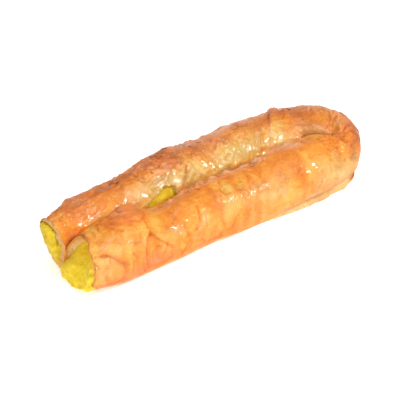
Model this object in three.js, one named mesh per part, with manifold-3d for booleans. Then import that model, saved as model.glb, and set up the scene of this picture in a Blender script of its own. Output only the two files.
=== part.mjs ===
// A potato pie: filo pastry rolled round mashed potato into a rope, folded double like a hairpin and baked.
// Millimetres, +Z up. The pie stands on z = 0, the fold points along +X and the two open ends along -X.
import * as THREE from "three";
import { LoftGeometry } from "three/addons/geometries/LoftGeometry.js";
import { mergeVertices } from "three/addons/utils/BufferGeometryUtils.js";
import Module from "manifold-3d";

// Driving dimensions of the rope and of the hairpin it makes.
const foldTipX = 104.6;
const frontEndX = -96;
const backEndX = -92.5;
const strandPitch = 33.4; // between the centre lines of the two strands
const halfWidth = 17.2; // a little over half the pitch, because the strands press flat on each other
const halfHeight = 17;
const sink = 1.2; // how far the rope's round section has settled to give its flat base
const contactGap = 0.4; // between the strands where they press on each other
const roundTop = 2.1; // superellipse powers of the section: nearly round above, squarer at the base
const squareBase = 2.7;
const foldShort = 0.66; // the fold is pressed shorter than a half circle
const foldFill = 2.4; // added to the upper power on the inside of the fold, where the pastry is bunched up

// The wrapped pastry and the potato inside it.
const crust = 2.6;
const lipOut = 0.9; // middle layers of the pastry stand out of the cut ends
const fillingGap = 0.4;
const potatoEnds = {
  front: { out: 4, slump: 1.6, round: 0.66, droop: 3 }, // most of it has come out at the base
  back: { out: 4.2, slump: -0.3, round: 0.8, droop: 0 },
};
const potatoLump = 1.2; // unevenness of its face, and as a share of its width
const lumpShare = 0.12;
const domeShares = [0.35, 0.7, 0.9, 1]; // rings of the bulge, from the mouth to the tip

// Faces round the section and along the rope.
const outsideSides = 38;
const fillingSides = outsideSides / 2; // its corners then lie inside the cavity's
const skinStep = { strand: 4.8, fold: 2.7 };
const hiddenStep = { strand: 13, fold: 5.3 };

// Lengths along the middle of the rope, from the front end, round the fold, to the back end.
const foldRadius = strandPitch / 2;
const foldX = foldTipX - (foldRadius + halfWidth) * foldShort;
const foldStart = foldX - frontEndX;
const foldEnd = foldStart + Math.PI * foldRadius;
const ropeLength = foldEnd + foldX - backEndX;
const onFront = (x) => x - frontEndX;
const onFold = (share) => foldStart + (foldEnd - foldStart) * share;
const onBack = (x) => foldEnd + foldX - x;

// Swells and pinches of the rope: where, how far they reach, and the share they add to width and height.
const swells = [
  { at: 0, reach: 14, wide: 0.01, tall: -0.09 },
  { at: onFront(-74), reach: 14, wide: 0.02, tall: 0.01 },
  { at: onFront(-60), reach: 12, wide: 0, tall: 0.07 },
  { at: onFront(-40), reach: 16, wide: -0.05, tall: -0.14 },
  { at: onFront(-10), reach: 18, wide: -0.09, tall: -0.035 },
  { at: onFront(22), reach: 18, wide: -0.08, tall: -0.065 },
  { at: onFront(52), reach: 18, wide: 0.02, tall: 0.07 },
  { at: onFold(0.3), reach: 14, wide: -0.03, tall: 0.16 },
  { at: onFold(0.7), reach: 14, wide: -0.08, tall: 0.095 },
  { at: onBack(59), reach: 14, wide: -0.015, tall: 0.13 },
  { at: onBack(38), reach: 14, wide: 0.04, tall: 0.15 },
  { at: onBack(14), reach: 16, wide: 0.035, tall: 0.105 },
  { at: onBack(-10), reach: 14, wide: 0.05, tall: 0.155 },
  { at: onBack(-27), reach: 12, wide: 0.01, tall: 0.065 },
  { at: onBack(-54), reach: 17, wide: 0.02, tall: -0.04 },
  { at: ropeLength, reach: 15, wide: -0.36, tall: -0.05 },
];
const pinchInward = 0.85; // a pinched end stays against its neighbour

// Both ends are cut unevenly: how far the crest, the outside and both sides are shifted along the rope.
const endCut = {
  front: { lean: 2.5, slant: -2.2, bow: -2.6 },
  back: { lean: 8, slant: -2.9, bow: 0 },
  reach: 24,
};

// The outer sheet ends on the back strand in a slanting step, and its other edge lies out along the base.
const lap = { at: onBack(62), slant: 13, slantReach: 20, rise: 1.1, fade: 34, edge: 0.7 };
const flap = { from: onFront(8), to: foldStart + 12, ramp: 40, root: 6.5, rootThick: 2.2, edgeThick: 1 };
const flapReach = { start: 10, strand: 11.6, fold: 9.4 };
// The rope is drawn in low on its outside: above that loose edge, and at the front end.
const tuck = { deep: 2.6, angle: THREE.MathUtils.degToRad(-46), reach: 0.45, fade: 9 };
const endTuck = { deep: 3, reach: 11 };

// Gathers over the inside of the fold, a ridge on the front crest, and blisters all over.
const gathers = { count: 5, deep: 0.8, crest: THREE.MathUtils.degToRad(115), reach: 0.8 };
const ridge = { at: onFront(-64), reach: 15, crest: THREE.MathUtils.degToRad(118), round: 0.2, rise: 1.3 };
const blisters = { count: 100, seed: 11, small: 4.5, large: 9, rise: 1.8, lowest: -0.35, highest: 2.9 };

// The sheet has torn open on the back strand, above where the front strand leans on it.
const tear = { at: onBack(-27.5), long: 12, high: 5.2, deep: 4.6, sunk: 2.6 };
const tearAngle = THREE.MathUtils.degToRad(156);

// The strands have baked together along the flat that they press on each other.
const seam = { from: backEndX + 16, to: foldX + 1, low: 9.5, high: 17.5, thick: 1 };

const bell = (t) => Math.exp(-t * t);
const smooth = (low, high, t) => THREE.MathUtils.smoothstep(t, low, high);
const turnBetween = (from, to) => Math.atan2(Math.sin(to - from), Math.cos(to - from));

// Repeatable random numbers from 0 to 1.
function randomFrom(seed) {
  let state = seed;
  return () => {
    state = (state * 16807) % 2147483647;
    return state / 2147483647;
  };
}

// A point of the rope's middle line on the floor, with the direction that leads out of the hairpin.
function middleLine(along) {
  if (along <= foldStart) {
    return { x: frontEndX + along, y: -foldRadius, outX: 0, outY: -1 };
  }
  if (along >= foldEnd) {
    return { x: foldX - (along - foldEnd), y: foldRadius, outX: 0, outY: 1 };
  }
  const turn = (along - foldStart) / foldRadius - Math.PI / 2;
  const outX = foldShort * Math.cos(turn);
  const outY = Math.sin(turn);
  return { x: foldX + foldRadius * outX, y: foldRadius * outY, outX, outY };
}

function swellAt(along, side) {
  return swells.reduce((sum, s) => sum + s[side] * bell((along - s.at) / s.reach), 1);
}

// From 0 on the straight strands to 1 in the fold.
function inFold(along) {
  const share = (along - foldStart) / (foldEnd - foldStart);
  return smooth(-0.2, 0.2, share) * (1 - smooth(0.8, 1.2, share));
}

// Blisters are scattered evenly along the rope and at random round its upper side.
function scatterBlisters() {
  const random = randomFrom(blisters.seed);
  return Array.from({ length: blisters.count }, (_, i) => ({
    at: ((i + random()) / blisters.count) * ropeLength,
    angle: blisters.lowest + random() * (blisters.highest - blisters.lowest),
    reach: blisters.small + random() * (blisters.large - blisters.small),
    rise: blisters.rise * (random() - 0.35),
  }));
}
const blisterList = scatterBlisters();

function blisterRise(along, angle) {
  return blisterList.reduce((sum, b) => {
    const alongShare = (along - b.at) / b.reach;
    if (Math.abs(alongShare) > 2) return sum;
    const roundShare = (turnBetween(b.angle, angle) * halfWidth) / b.reach;
    return sum + b.rise * bell(Math.hypot(alongShare, roundShare));
  }, 0);
}

function gatherRise(along, angle) {
  const share = (along - foldStart) / (foldEnd - foldStart);
  const over = bell(turnBetween(gathers.crest, angle) / gathers.reach);
  return gathers.deep * inFold(along) * over * Math.cos(2 * Math.PI * gathers.count * share);
}

function ridgeRise(along, angle) {
  const over = bell(turnBetween(ridge.crest, angle) / ridge.round);
  return ridge.rise * over * bell((along - ridge.at) / ridge.reach);
}

function lapRise(along) {
  const under = 1 - smooth(lap.at - lap.edge, lap.at + lap.edge, along);
  return lap.rise * under * bell(Math.max(0, lap.at - along) / lap.fade);
}

function reliefAt(along, angle) {
  const fromFloor = smooth(-1.1, -0.4, Math.sin(angle));
  const folds = gatherRise(along, angle) + ridgeRise(along, angle) + lapRise(along);
  return fromFloor * (blisterRise(along, angle) + folds);
}

// How far the rope is drawn in low on its outside.
function tuckAt(along, angle) {
  const begun = smooth(flap.from, flap.from + flap.ramp, along);
  const ended = smooth(flap.to - tuck.fade, flap.to + tuck.fade, along);
  const deep = tuck.deep * begun * (1 - ended) + endTuck.deep * bell(along / endTuck.reach);
  return deep * bell(turnBetween(tuck.angle, angle) / tuck.reach);
}

// How far a point of a ring is shifted along the rope, at the slanted ends and the slanting lap.
function skewAt(along, angle) {
  const raised = (1 + Math.sin(angle)) / 2;
  const outward = Math.cos(angle);
  const cut = ({ lean, slant, bow }) => lean * raised + slant * outward + bow * Math.cos(2 * angle);
  const front = cut(endCut.front) * bell(along / endCut.reach);
  const back = cut(endCut.back) * bell((ropeLength - along) / endCut.reach);
  return front + back - lap.slant * outward * bell((along - lap.at) / lap.slantReach);
}

// A point on the rope's skin, or on the same skin drawn in by an inset.
// The angle runs from the outside of the hairpin over the top to the inside.
function skinPoint(along, angle, inset = 0) {
  const wide = swellAt(along, "wide");
  const tall = swellAt(along, "tall");
  const cos = Math.cos(angle);
  const sin = Math.sin(angle);
  const upperPower = roundTop + (cos < 0 ? foldFill * inFold(along) : 0);
  const power = sin > 0 ? upperPower : squareBase;
  const round = (Math.abs(cos) ** power + Math.abs(sin) ** power) ** (-1 / power);
  const relief = (inset > 0 ? 0 : reliefAt(along, angle)) - tuckAt(along, angle);
  const pinch = halfWidth * (1 - wide) * pinchInward;
  const middle = halfHeight * tall - sink;
  const out = (halfWidth * wide - inset) * cos * round + relief * cos - pinch;
  const up = middle + (halfHeight * tall - inset) * sin * round + relief * sin;
  const keptOut = Math.max(out, contactGap / 2 - foldRadius + inset);
  const line = middleLine(along + skewAt(along, angle));
  return new THREE.Vector3(line.x + line.outX * keptOut, line.y + line.outY * keptOut, Math.max(up, inset));
}

// A closed ring of points, wound so that a loft along the rope faces out.
function ring(sides, pointAt) {
  return Array.from({ length: sides }, (_, i) => pointAt((-2 * Math.PI * i) / sides));
}

function stations(from, to, step) {
  const count = Math.ceil((to - from) / step);
  return Array.from({ length: count + 1 }, (_, i) => from + ((to - from) * i) / count);
}

// Stations of the whole rope, closer together in the fold.
function ropeStations(step) {
  const front = stations(0, foldStart, step.strand).slice(0, -1);
  const fold = stations(foldStart, foldEnd, step.fold).slice(0, -1);
  return [...front, ...fold, ...stations(foldEnd, ropeLength, step.strand)];
}

// A loft with its shared corners merged, as a solid that can be joined and cut.
const wasm = await Module();
wasm.setup();
function solidOf(geometry) {
  const bare = new THREE.BufferGeometry();
  bare.setAttribute("position", geometry.getAttribute("position"));
  bare.setIndex(geometry.index);
  const merged = mergeVertices(bare, 1e-4);
  return new wasm.Manifold(
    new wasm.Mesh({
      numProp: 3,
      vertProperties: merged.getAttribute("position").array,
      triVerts: new Uint32Array(merged.index.array),
    }),
  );
}

function geometryOf(solid) {
  const mesh = solid.getMesh();
  const geometry = new THREE.BufferGeometry();
  geometry.setAttribute("position", new THREE.BufferAttribute(mesh.vertProperties, 3));
  geometry.setIndex(new THREE.BufferAttribute(mesh.triVerts, 1));
  geometry.computeVertexNormals();
  return geometry;
}

// The rolled pastry: out along the skin, in over the lip of the back end, home along the cavity, and out again.
function pastryTube() {
  const lapRings = [lap.at - lap.edge, lap.at, lap.at + lap.edge];
  const outside = [...ropeStations(skinStep), ...lapRings].sort((a, b) => a - b);
  const cavity = ropeStations(hiddenStep).reverse();
  const outsideRings = outside.map((along) => ring(outsideSides, (angle) => skinPoint(along, angle)));
  const cavityRings = cavity.map((along) => ring(outsideSides, (angle) => skinPoint(along, angle, crust)));
  const outward = new THREE.Vector3(-lipOut, 0, 0);
  const lipRing = (along) => ring(outsideSides, (angle) => skinPoint(along, angle, crust / 2).add(outward));
  const sections = [...outsideRings, lipRing(ropeLength), ...cavityRings, lipRing(0), outsideRings[0]];
  return solidOf(new LoftGeometry(sections));
}

// The edge of the outer sheet, lying on the floor along the base of the front strand and into the fold.
function baseFlap() {
  const sections = stations(flap.from, flap.to, skinStep.strand).map((along) => {
    const line = middleLine(along);
    const grown = smooth(flap.from, flap.from + flap.ramp, along);
    const narrowed = smooth(foldStart - flap.ramp / 2, foldStart, along);
    const wide = THREE.MathUtils.lerp(flapReach.start, flapReach.strand, grown);
    const tip = THREE.MathUtils.lerp(wide, flapReach.fold, narrowed);
    const corners = [
      [flap.root, 0],
      [flap.root, flap.rootThick],
      [tip, flap.edgeThick],
      [tip, 0],
    ];
    return corners.map(([out, up]) => new THREE.Vector3(line.x + line.outX * out, line.y + line.outY * out, up));
  });
  return solidOf(new LoftGeometry(sections, { capStart: true, capEnd: true }));
}

function bakedSeam() {
  const box = new THREE.BoxGeometry(seam.to - seam.from, seam.thick, seam.high - seam.low);
  return solidOf(box.translate((seam.from + seam.to) / 2, 0, (seam.low + seam.high) / 2));
}

// The hole through the pastry where the sheet has torn, kept on the back strand's side of the groove.
function tornHole() {
  const surface = skinPoint(tear.at, tearAngle);
  const hole = new THREE.SphereGeometry(1, 20, 14).scale(tear.long, tear.deep, tear.high);
  hole.rotateX(Math.PI - tearAngle);
  const inward = new THREE.Vector3(0, -Math.cos(tearAngle), -Math.sin(tearAngle));
  hole.translate(...surface.addScaledVector(inward, tear.sunk).toArray());
  const backSide = new THREE.BoxGeometry(60, 40, 60).translate(surface.x, 20 + seam.thick / 2, 30);
  return solidOf(hole).intersect(solidOf(backSide));
}

// The potato: a rope inside the cavity that swells out of both ends in soft lumps.
function potatoRope() {
  const inset = crust + fillingGap;
  const insideRings = ropeStations(hiddenStep).map((along) =>
    ring(fillingSides, (angle) => skinPoint(along, angle, inset)),
  );
  const frontDome = potatoDome(insideRings[0], potatoEnds.front, blisters.seed);
  const backDome = potatoDome(insideRings.at(-1), potatoEnds.back, blisters.seed + 1);
  const sections = [...frontDome.reverse(), ...insideRings, ...backDome];
  return solidOf(new LoftGeometry(sections, { capStart: true, capEnd: true }));
}

// Rings that close in from an open end's mouth to the tip of its potato, each one uneven.
function potatoDome(mouth, end, seed) {
  const random = randomFrom(seed);
  const centre = mouth.reduce((sum, point) => sum.add(point), new THREE.Vector3()).divideScalar(mouth.length);
  return domeShares.map((share) =>
    mouth.map((point) => {
      const slump = 1 + end.slump * ((centre.z - point.z) / halfHeight);
      const drawnIn = Math.sqrt(1 - (end.round * share) ** 2) + lumpShare * (random() - 0.5) * share;
      const lumpy = point.clone().lerp(centre, 1 - drawnIn);
      lumpy.x -= share * end.out * slump + potatoLump * (random() - 0.5);
      lumpy.z -= share * end.droop;
      return lumpy;
    }),
  );
}

const filo = new THREE.MeshStandardMaterial({ color: "#e0923c", roughness: 0.42, metalness: 0 });
const potato = new THREE.MeshStandardMaterial({ color: "#d9b92a", roughness: 0.5, metalness: 0 });

const rolled = pastryTube().add(baseFlap()).add(bakedSeam());
const pastry = new THREE.Mesh(geometryOf(rolled.subtract(tornHole())), filo);
pastry.name = "pastry";
const filling = new THREE.Mesh(geometryOf(potatoRope()), potato);
filling.name = "filling";

// The middle of the pie's box stands over the origin.
const pie = new THREE.Group();
pie.add(pastry, filling);
const middle = new THREE.Box3().setFromObject(pie).getCenter(new THREE.Vector3());
pie.children.forEach((piece) => piece.geometry.translate(-middle.x, -middle.y, 0));
export default pie;
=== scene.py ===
from functools import partial
import math
import bpy
import numpy as np
from mathutils import Matrix, Vector, noise


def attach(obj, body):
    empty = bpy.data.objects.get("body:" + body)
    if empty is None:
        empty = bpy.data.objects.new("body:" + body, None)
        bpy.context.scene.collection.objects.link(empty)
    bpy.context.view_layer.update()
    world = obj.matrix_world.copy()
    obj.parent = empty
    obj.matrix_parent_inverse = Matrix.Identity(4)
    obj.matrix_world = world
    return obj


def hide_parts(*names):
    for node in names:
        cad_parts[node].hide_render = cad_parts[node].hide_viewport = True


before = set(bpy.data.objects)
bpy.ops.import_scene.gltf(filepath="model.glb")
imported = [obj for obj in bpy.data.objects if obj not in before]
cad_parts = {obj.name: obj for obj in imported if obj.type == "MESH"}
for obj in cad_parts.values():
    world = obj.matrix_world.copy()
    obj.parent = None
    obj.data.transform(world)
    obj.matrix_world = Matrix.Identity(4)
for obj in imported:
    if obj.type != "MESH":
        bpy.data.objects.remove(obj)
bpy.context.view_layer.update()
print("frame loaded", sorted(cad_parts))

mm = 0.001

# the rope that both the pastry and the potato follow, in millimetres, as the solids have it
rope = dict(foldTipX=104.6, frontEndX=-96.0, backEndX=-92.5, pitch=33.4, halfWidth=17.2, halfHeight=17.0, sink=1.2,
            contactGap=0.4, roundTop=2.1, squareBase=2.7, foldShort=0.66, foldFill=0.5, crust=2.6, pinchInward=0.85,
            boxMiddle=(0.541, -0.131))
halfWidth = rope["halfWidth"]
foldRadius = rope["pitch"] / 2
foldX = rope["foldTipX"] - (foldRadius + halfWidth) * rope["foldShort"]
foldStart = foldX - rope["frontEndX"]
foldEnd = foldStart + math.pi * foldRadius
ropeLength = foldEnd + foldX - rope["backEndX"]


def onFront(x):
    return x - rope["frontEndX"]


def onFold(share):
    return foldStart + (foldEnd - foldStart) * share


def onBack(x):
    return foldEnd + foldX - x


# where the rope swells or narrows: place, reach, share of width, share of height
swells = [
    (0, 14, 0.01, -0.09), (onFront(-74), 14, 0.02, 0.01), (onFront(-60), 12, 0, 0.07), (onFront(-40), 16, -0.05, -0.14),
    (onFront(-10), 18, -0.09, -0.035), (onFront(22), 18, -0.08, -0.065), (onFront(52), 18, 0.02, 0.07),
    (onFold(0.3), 14, -0.03, 0.16), (onFold(0.7), 14, -0.08, 0.095),
    (onBack(59), 14, -0.015, 0.13), (onBack(38), 14, 0.04, 0.15), (onBack(14), 16, 0.035, 0.105),
    (onBack(-10), 14, 0.05, 0.155), (onBack(-27), 12, 0.01, 0.065), (onBack(-54), 17, 0.02, -0.04),
    (ropeLength, 15, -0.36, -0.05),
]
endCut = dict(front=(2.5, -2.2, -2.6), back=(8, -2.9, 0), reach=24)  # lean of the crest, slant of the outside, bow
shoulder = dict(degrees=58, reach=0.42, back=2.2)  # where the front rim lies back
lap = dict(at=onBack(62), slant=13, slantReach=20, rise=0.8, fade=34, edge=0.4)
flap = dict(start=onFront(14), end=foldStart + 24, ramp=50)
tuck = dict(deep=4.4, degrees=-46, reach=0.45, fade=9, endDeep=3.2, endReach=13)
rings = dict(pitch=12.0, deep=0.22, crest=134, reach=0.4, wander=5)  # folds that run round the end of the groove
ridge = dict(at=onFront(-64), reach=13, crest=118, round=0.2, rise=2.2)
blisters = dict(count=100, seed=11, small=4.5, large=9, rise=1.8, lowest=-0.35, highest=2.9)


def bell(t):
    return np.exp(-t * t)


def smooth(low, high, t):
    s = np.clip((t - low) / (high - low), 0, 1)
    return s * s * (3 - 2 * s)


# 1 between two ramps, 0 outside them
def between(t, low, lowEnd, high, highEnd):
    return smooth(low, lowEnd, t) * (1 - smooth(high, highEnd, t))


def turnBetween(start, end):
    return np.arctan2(np.sin(end - start), np.cos(end - start))


# 1 at these degrees of the section, fading over a reach in radians
def roundAt(angle, degrees, reach):
    return bell(turnBetween(math.radians(degrees), angle) / reach)


def middleLine(along):
    turn = np.clip((along - foldStart) / foldRadius, 0, math.pi) - math.pi / 2
    outX, outY = rope["foldShort"] * np.cos(turn), np.sin(turn)
    straight = np.minimum(along - foldStart, 0) - np.maximum(along - foldEnd, 0)
    return foldX + foldRadius * outX + straight, foldRadius * outY, outX, outY


def inFold(along):
    return between((along - foldStart) / (foldEnd - foldStart), -0.2, 0.2, 0.8, 1.2)


def tuckAt(along, angle):
    begun = smooth(flap["start"], flap["start"] + flap["ramp"], along)
    ended = smooth(flap["end"] - tuck["fade"], flap["end"] + tuck["fade"], along)
    deep = tuck["deep"] * begun * (1 - ended) + tuck["endDeep"] * bell(along / tuck["endReach"])
    return deep * roundAt(angle, tuck["degrees"], tuck["reach"])


def skewAt(along, angle):
    raised, outward = (1 + np.sin(angle)) / 2, np.cos(angle)

    def cut(lean, slant, bow):
        return lean * raised + slant * outward + bow * np.cos(2 * angle)
    laidBack = shoulder["back"] * roundAt(angle, shoulder["degrees"], shoulder["reach"])
    front = (cut(*endCut["front"]) - laidBack) * bell(along / endCut["reach"])
    back = cut(*endCut["back"]) * bell((ropeLength - along) / endCut["reach"])
    return front + back - lap["slant"] * outward * bell((along - lap["at"]) / lap["slantReach"])


# a point of the skin, or of the same skin drawn in by an inset; the angle runs from outside over the top to inside
def skinPoint(along, angle, inset=0.0, relief=0.0):
    wide, tall = 1.0, 1.0
    for at, reach, addWide, addTall in swells:
        near = bell((along - at) / reach)
        wide, tall = wide + addWide * near, tall + addTall * near
    cos, sin = np.cos(angle), np.sin(angle)
    power = np.where(sin > 0, rope["roundTop"] + rope["foldFill"] * inFold(along) * (cos < 0), rope["squareBase"])
    rounded = (np.abs(cos) ** power + np.abs(sin) ** power) ** (-1 / power)
    lift = relief - tuckAt(along, angle)
    out = (halfWidth * wide - inset) * cos * rounded + lift * cos
    out = out - halfWidth * (1 - wide) * rope["pinchInward"]
    up = rope["halfHeight"] * tall - rope["sink"] + (rope["halfHeight"] * tall - inset) * sin * rounded + lift * sin
    out = np.maximum(out, rope["contactGap"] / 2 - foldRadius + inset)
    x, y, outX, outY = middleLine(along + skewAt(along, angle))
    dx, dy = rope["boxMiddle"]
    return np.stack([x + outX * out + dx, y + outY * out + dy, np.maximum(up, inset)], -1)


# repeatable random numbers from 0 to 1
def randomFrom(seed):
    state = seed
    while True:
        state = (state * 16807) % 2147483647
        yield state / 2147483647


def drawBetween(draw, low, high, power=1):
    return low + next(draw) ** power * (high - low)


# soft noise from -1 to 1 on the skin, with its own size along and round the rope
def ripple(along, angle, sizeAlong, sizeRound, seed=0):
    shape = np.broadcast(along, angle).shape
    a = np.broadcast_to(along, shape).ravel() / sizeAlong + 31.7 * seed
    c = (np.cos(np.broadcast_to(angle, shape)) * halfWidth / sizeRound + 7.3 * seed).ravel()
    s = (np.sin(np.broadcast_to(angle, shape)) * halfWidth / sizeRound).ravel()
    return np.array([noise.noise(Vector(p)) for p in zip(a, c, s)]).reshape(shape)


def scatterBlisters():
    draw = randomFrom(blisters["seed"])
    rows = []
    for i in range(blisters["count"]):
        at = (i + next(draw)) / blisters["count"] * ropeLength
        angle = drawBetween(draw, blisters["lowest"], blisters["highest"])
        reach = drawBetween(draw, blisters["small"], blisters["large"])
        rows.append((at, angle, reach, blisters["rise"] * (next(draw) - 0.35)))
    return rows


def domes(along, angle, rows):
    total = np.zeros(np.broadcast(along, angle).shape)
    for at, turn, reach, rise in rows:
        near = (np.abs(along - at) < 2 * reach) & (np.abs(turnBetween(turn, angle)) * halfWidth < 2.5 * reach)
        if not near.any():
            continue
        d = np.hypot((along[near] - at) / reach, turnBetween(turn, angle[near]) * halfWidth / reach)
        total[near] += rise * bell(d)
    return total


def foldsAndLap(along, angle):
    over = roundAt(angle, ridge["crest"], ridge["round"])
    total = ridge["rise"] * over * bell((along - ridge["at"]) / ridge["reach"])
    ringed = between(along, foldStart + 4, foldStart + 14, foldEnd + 22, foldEnd + 36)
    wander = np.degrees(angle) + rings["wander"] * ripple(along, angle, 14, 14, 41)
    over = roundAt(angle, rings["crest"], rings["reach"])
    total = total + rings["deep"] * ringed * over * np.cos(2 * math.pi * wander / rings["pitch"])
    under = 1 - smooth(lap["at"] - lap["edge"], lap["at"] + lap["edge"], along)
    return total + lap["rise"] * under * bell(np.maximum(0, lap["at"] - along) / lap["fade"])


# points near a path drawn on the skin: which they are, their distance to it and the side of it, in millimetres
def fromPath(along, angle, path, reach):
    ends = [a for a, _ in path]
    near = (along > min(ends) - reach) & (along < max(ends) + reach)
    u, v = along[near], turnBetween(math.radians(70), angle[near]) * halfWidth
    dist, side = np.full(u.shape, 99.0), np.ones(u.shape)
    points = [(a, turnBetween(math.radians(70), math.radians(g)) * halfWidth) for a, g in path]
    for (u0, v0), (u1, v1) in zip(points, points[1:]):
        du, dv = u1 - u0, v1 - v0
        t = np.clip(((u - u0) * du + (v - v0) * dv) / (du * du + dv * dv), 0, 1)
        d = np.hypot(u - u0 - t * du, v - v0 - t * dv)
        cross = du * (v - v0) - dv * (u - u0)
        side = np.where(d < dist, np.sign(cross), side)
        dist = np.minimum(d, dist)
    return near, dist, side


# creases pressed into the sheet: path as (along, degrees), depth and width
creases = [
    ([(5.5, 44), (9.5, 38), (13, 28), (16, 16), (19.5, 6)], 1.0, 1.1),
    ([(17.5, 9), (18.5, -7), (16.5, -20), (13.5, -26)], 0.5, 0.9),
    ([(38, 40), (34.5, 30), (32.5, 18), (32, -1), (33.5, -20)], 0.9, 1.1),
    ([(29.5, 3), (29.5, -14), (31, -30)], 0.6, 0.8),
    ([(26, 1), (25.5, -13), (27.5, -32)], 0.5, 0.8),
    ([(36, 6), (36, -15), (38.5, -33)], 0.6, 0.8),
    ([(38, 40), (40.5, 30), (45, 19), (50, 8)], 0.7, 1.0),
    ([(42.5, 13), (39, 14), (37.5, 5), (39.5, -10), (45, -21), (49, -19), (49.5, -4)], 0.6, 0.8),
    ([(114, 82), (112, 66), (110.5, 50)], 0.5, 0.8),
    ([(13.5, 117), (14.5, 94), (17.5, 79), (22.5, 67)], 0.6, 0.8),
    ([(15.5, 107), (19, 92), (23.5, 80), (29, 69)], 0.5, 0.8),
    ([(174.5, 123), (176.5, 105), (178.5, 82), (180.5, 64)], 0.9, 0.9),
    ([(180.5, 131), (185, 110), (190.5, 82), (192.5, 55)], 0.7, 0.9),
    ([(178.5, 111), (185, 85), (188.5, 58)], 0.6, 0.8),
    ([(225.5, 127), (212, 122), (201.5, 93), (196, 69)], 0.6, 0.9),
    ([(168.5, 100), (167.5, 70), (165.5, 44), (163.5, 19)], 0.5, 0.9),
    ([(173, 62), (171.5, 38), (168.5, 14)], 0.4, 0.9),
    ([(321, 136), (325, 149), (326.5, 163)], 1.2, 1.4),
    ([(332.5, 132), (334, 145), (333, 158)], 0.8, 1.2),
    ([(23.5, 5), (23.5, -16)], 0.5, 0.7),
    ([(42, -33), (44.5, -26)], 0.9, 0.8),
    ([(59, -7), (56.5, -19)], 0.7, 0.7),
    ([(1, 48), (4, 45), (7.5, 41)], 0.7, 0.9),
    ([(346, 128), (340, 127), (335, 126)], 0.8, 0.9),
    ([(320, 127), (324, 150)], 0.9, 1.0),
    ([(313.5, 145), (313.5, 158)], 0.8, 0.9),
    ([(277, 111), (271, 127)], 0.6, 0.9),
    ([(341.5, 70), (336.5, 84), (334.5, 102)], 0.7, 0.8),
    ([(352.5, 61), (348.5, 76), (347, 101)], 0.6, 0.8),
    ([(96, -44), (116.5, -38), (130, -33), (150.5, -42), (164, -39), (176.5, -30), (183, -18)], 1.5, 1.7),
]
# sheet edges that stand proud on one side: path, rise, how far the rise fades, side
sheetEdges = [
    ([(293, 70), (293, 84), (294.5, 101), (296.5, 117), (297.5, 133), (297.5, 147)], 0.7, 16, 1),
    ([(180.5, 131), (185, 110), (190.5, 82), (192.5, 55), (193, 38)], 1.1, 22, 1),
    ([(99, 107), (92.5, 69), (88, 40), (86, 16), (88.5, -6)], 0.5, 14, 1),
    ([(4, 75), (11, 58), (20, 42), (30, 30)], 0.4, 9, -1),
    ([(11, 116), (14.5, 105), (19, 97), (26, 81), (34.5, 68), (39.5, 78), (42.5, 97), (41.5, 115)], 0.9, 12, 1),
    ([(250.9, 40), (250.9, 100), (250.9, 160)], 0.7, 12, 1),
]
wrinkles = dict(count=180, seed=41, short=3.0, long=11.0, lowest=-25, highest=145)


# short creases all over: mostly across the front strand, any way on the back one
def scatterWrinkles():
    draw = randomFrom(wrinkles["seed"])
    rows = []
    for i in range(wrinkles["count"]):
        at = (i + next(draw)) / wrinkles["count"] * ropeLength
        turn = drawBetween(draw, wrinkles["lowest"], wrinkles["highest"])
        half = drawBetween(draw, wrinkles["short"], wrinkles["long"], 1.5) / 2
        spread = 70 if at < foldStart else 150
        way = math.radians(90 + spread * (next(draw) - 0.5))
        bend = 0.5 * half * (next(draw) - 0.5)
        path = []
        for step, off in ((-1, 0), (0, bend), (1, 0)):
            u = step * half * math.cos(way) - off * math.sin(way)
            v = step * half * math.sin(way) + off * math.cos(way)
            path.append((at + u, turn + math.degrees(v / halfWidth)))
        rows.append((path, 0.2 + 0.45 * next(draw), 0.55 + 0.35 * next(draw)))
    return rows


creases = creases + scatterWrinkles()
skin = dict(rows=0.9, foldRows=0.6, columns=160, layers=5, bubbles=420, shiny=150, bubbleSeed=5,
            lipThin=1.9, backThin=1.2, lipReach=8)
# how the groove grows shallow towards the fold, and how its end hooks forward over the front strand
hollow = dict(level=35.2, drop=13.0, reach=20.0, soft=3.0, valley=1.6, valleyWide=2.2, hook=17.0, hookReach=14.0,
              hookFront=0.75, joined=0.9, apart=(0.2, 0.6))


def crustAt(along):
    atFront, atBack = bell(along / skin["lipReach"]), bell((ropeLength - along) / skin["lipReach"])
    return rope["crust"] - skin["lipThin"] * atFront - skin["backThin"] * atBack


# the strands grow together where the groove ends in the fold
def closeGroove(points, angle):
    x, z = points[:, 0], points[:, 2]
    level = hollow["level"] - hollow["drop"] * smooth(foldX, foldX - hollow["reach"], x)
    share = smooth(0, 0.5, np.sin(angle)) * (np.cos(angle) < 0)
    share = share * smooth(foldX - hollow["reach"], foldX - 0.6 * hollow["reach"], x)
    short = level - z
    keep = 0.55 + 0.4 * smooth(foldX - 12, foldX - 3, x)  # the groove stays a groove until it meets the fold
    raised = keep * share * 0.5 * (short + np.sqrt(short * short + hollow["soft"] ** 2))
    # the strands' flanks, a gap apart in the solid, have baked together
    off = points[:, 1] - rope["boxMiddle"][1]
    y = points[:, 1] - hollow["joined"] * off * (1 - smooth(*hollow["apart"], np.abs(off)))
    top = smooth(18, 30, z + raised)
    valley = bell(y / hollow["valleyWide"]) * between(x, foldX - 12, foldX - 6, foldX + 1, foldX + 6)
    hook = bell(np.maximum(y, -y * hollow["hookFront"]) / hollow["hookReach"])
    hook = hook * between(x, foldX - 9, foldX + 0.5, foldX + 1, foldX + 17)
    points[:, 2] = z + raised - hollow["valley"] * top * valley
    points[:, 1] = y - hollow["hook"] * top * hook
    return points


# the inner side of the fold, where the sheet lies in arcs round the end of the groove
def roundHook(along, angle):
    bend = between(along, foldStart, foldStart + 14, foldEnd + 25, foldEnd + 45)
    return bend * smooth(math.radians(85), math.radians(120), angle)


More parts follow.
